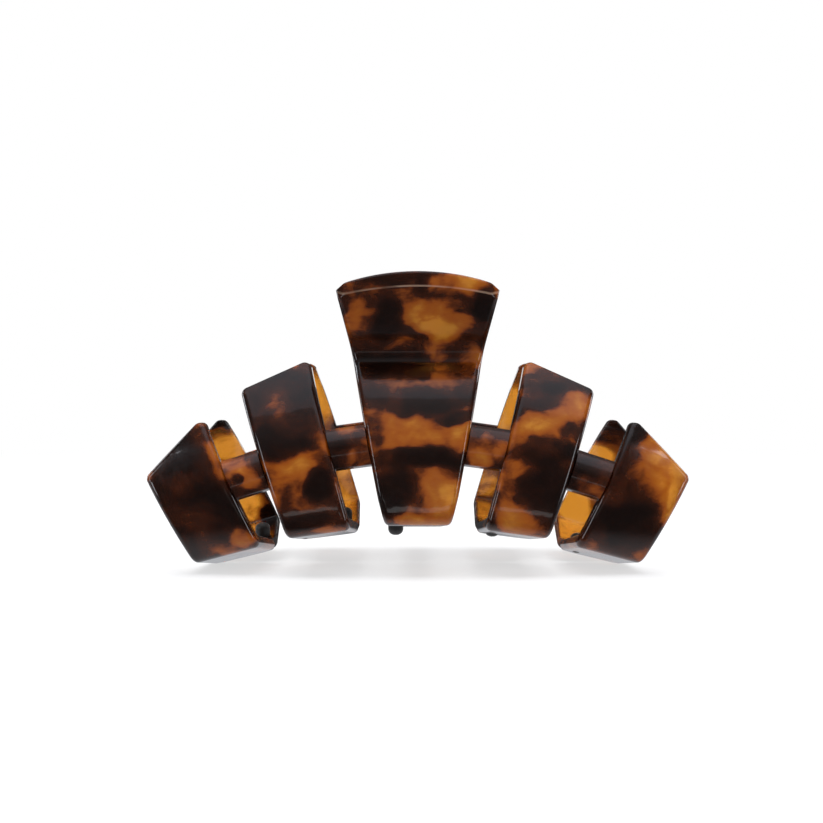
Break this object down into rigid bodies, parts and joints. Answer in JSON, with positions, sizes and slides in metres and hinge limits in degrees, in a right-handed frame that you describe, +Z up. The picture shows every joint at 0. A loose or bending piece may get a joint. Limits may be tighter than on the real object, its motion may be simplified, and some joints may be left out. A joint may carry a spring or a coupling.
{
  "type": "claw clip",
  "caption": "Sprung hair claw clip with two arched jaws of hooked petals, flared press handles and a pinned hinge, in mottled translucent plastic.",
  "frame": {"origin": "centre of the footprint, on the surface that the four outer tips stand on", "axes": "+Z up, +X along the clip's length, -Y towards the front jaw"},
  "size_m": [0.1092, 0.0456, 0.0607],
  "materials": {
    "back_centre_petal": "polished, translucent, mottled amber and dark brown",
    "back_studs": "polished, translucent, mottled amber and dark brown",
    "back_hinge_lugs": "polished, translucent, mottled amber and dark brown",
    "back_left_inner_link": "polished, translucent, mottled amber and dark brown",
    "back_left_inner_petal": "polished, translucent, mottled amber and dark brown",
    "back_left_outer_link": "polished, translucent, mottled amber and dark brown",
    "back_left_outer_petal": "polished, translucent, mottled amber and dark brown",
    "back_right_inner_link": "polished, translucent, mottled amber and dark brown",
    "back_right_inner_petal": "polished, translucent, mottled amber and dark brown",
    "back_right_outer_link": "polished, translucent, mottled amber and dark brown",
    "back_right_outer_petal": "polished, translucent, mottled amber and dark brown",
    "peg_black": "soft matt",
    "front_centre_petal": "polished, translucent, mottled amber and dark brown",
    "front_studs": "polished, translucent, mottled amber and dark brown",
    "front_hinge_lugs": "polished, translucent, mottled amber and dark brown",
    "front_left_inner_link": "polished, translucent, mottled amber and dark brown",
    "front_left_inner_petal": "polished, translucent, mottled amber and dark brown",
    "front_left_outer_link": "polished, translucent, mottled amber and dark brown",
    "front_left_outer_petal": "polished, translucent, mottled amber and dark brown",
    "front_right_inner_link": "polished, translucent, mottled amber and dark brown",
    "front_right_inner_petal": "polished, translucent, mottled amber and dark brown",
    "front_right_outer_link": "polished, translucent, mottled amber and dark brown",
    "front_right_outer_petal": "polished, translucent, mottled amber and dark brown",
    "pin_steel": "bright drawn",
    "spring_steel": "bright drawn"
  },
  "bodies": {
    "back_jaw": {"back_centre_petal": "back_centre_petal", "back_grip_studs": "back_studs", "back_hinge_lugs": "back_hinge_lugs", "back_left_inner_link": "back_left_inner_link", "back_left_inner_petal": "back_left_inner_petal", "back_left_outer_link": "back_left_outer_link", "back_left_outer_petal": "back_left_outer_petal", "back_right_inner_link": "back_right_inner_link", "back_right_inner_petal": "back_right_inner_petal", "back_right_outer_link": "back_right_outer_link", "back_right_outer_petal": "back_right_outer_petal", "back_tip_pegs": "peg_black", "hinge_pin": "pin_steel", "torsion_spring": "spring_steel"},
    "front_jaw": {"front_centre_petal": "front_centre_petal", "front_grip_studs": "front_studs", "front_hinge_lugs": "front_hinge_lugs", "front_left_inner_link": "front_left_inner_link", "front_left_inner_petal": "front_left_inner_petal", "front_left_outer_link": "front_left_outer_link", "front_left_outer_petal": "front_left_outer_petal", "front_right_inner_link": "front_right_inner_link", "front_right_inner_petal": "front_right_inner_petal", "front_right_outer_link": "front_right_outer_link", "front_right_outer_petal": "front_right_outer_petal", "front_tip_pegs": "peg_black"}
  },
  "joints": [
    {"name": "jaw_hinge", "type": "hinge", "parent": "back_jaw", "child": "front_jaw", "pos_m": [0, 0, 0.039], "axis": [-1, 0, 0], "range_deg": [0, 50], "stiffness_Nm_per_rad": 0.12, "springref_deg": -68.75, "deforming": ["torsion_spring"]}
  ]
}
